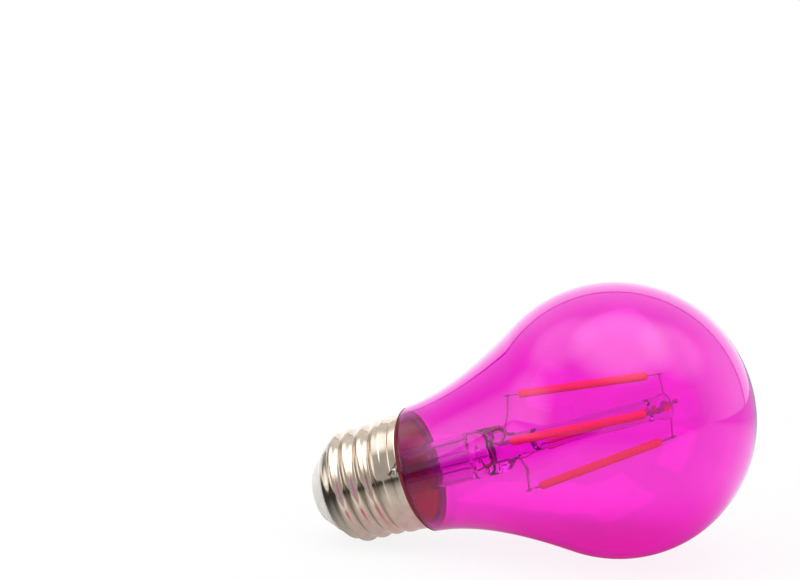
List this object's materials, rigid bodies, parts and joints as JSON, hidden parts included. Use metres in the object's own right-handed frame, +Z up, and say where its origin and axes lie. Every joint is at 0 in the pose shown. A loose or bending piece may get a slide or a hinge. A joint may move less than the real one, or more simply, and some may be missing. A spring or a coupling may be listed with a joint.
{
  "type": "led filament bulb",
  "caption": "LED filament bulb with a 60 mm magenta glass globe, four filaments on a clear glass stem and an E26 screw cap, lying on its side.",
  "frame": {"origin": "on the floor, at the middle of the lying bulb's bounding box", "axes": "+X towards the globe, level, with the bulb's own axis tilted up from it by 16.3 degrees; +Z up; -Y towards the viewer"},
  "size_m": [0.1002, 0.06, 0.0601],
  "materials": {
    "magenta_glass": "transparent pink-magenta glass, glossy",
    "clear_glass": "clear glass, glossy",
    "nickel_brass": "thin nickel-plated brass sheet, glossy on the thread, lightly brushed on the skirt",
    "contact_metal": "tinned, slightly worn",
    "insulator_white": "white moulded insulator, satin",
    "basing_cement": "reddish-brown hard cement, matte",
    "filament_coating": "yellow-orange phosphor silicone over the diodes, satin",
    "strip_steel": "stamped metal strip",
    "wire_nickel": "nickel wire, drawn",
    "solder": "solder, smooth",
    "board_laminate": "fibre laminate",
    "sleeve_plastic": "white insulating sleeve",
    "package_black": "black moulded package",
    "capacitor_sleeve": "dark shrink sleeve",
    "resistor_lacquer": "lacquered body",
    "ceramic_tan": "fired ceramic"
  },
  "bodies": {
    "root": {"basing_cement": "basing_cement", "branch_wire_b": "wire_nickel", "branch_wire_d": "wire_nickel", "bridge_rectifier": "package_black", "centre_contact": "contact_metal", "ceramic_capacitor": "ceramic_tan", "chip_resistor_a": "package_black", "chip_resistor_b": "package_black", "driver_board": "board_laminate", "driver_chip": "package_black", "driver_sleeve": "sleeve_plastic", "exhaust_tube": "clear_glass", "filament_strip_a": "strip_steel", "filament_strip_b": "strip_steel", "filament_strip_c": "strip_steel", "filament_strip_d": "strip_steel", "fusible_resistor": "resistor_lacquer", "glass_envelope": "magenta_glass", "glass_stem": "clear_glass", "insulator": "insulator_white", "lead_wire_a": "wire_nickel", "lead_wire_c": "wire_nickel", "led_filament_a": "filament_coating", "led_filament_b": "filament_coating", "led_filament_c": "filament_coating", "led_filament_d": "filament_coating", "neutral_wire": "wire_nickel", "screw_shell": "nickel_brass", "side_solder": "solder", "smoothing_capacitor": "capacitor_sleeve", "support_wire_a_c": "wire_nickel", "support_wire_b_d": "wire_nickel"}
  },
  "joints": []
}
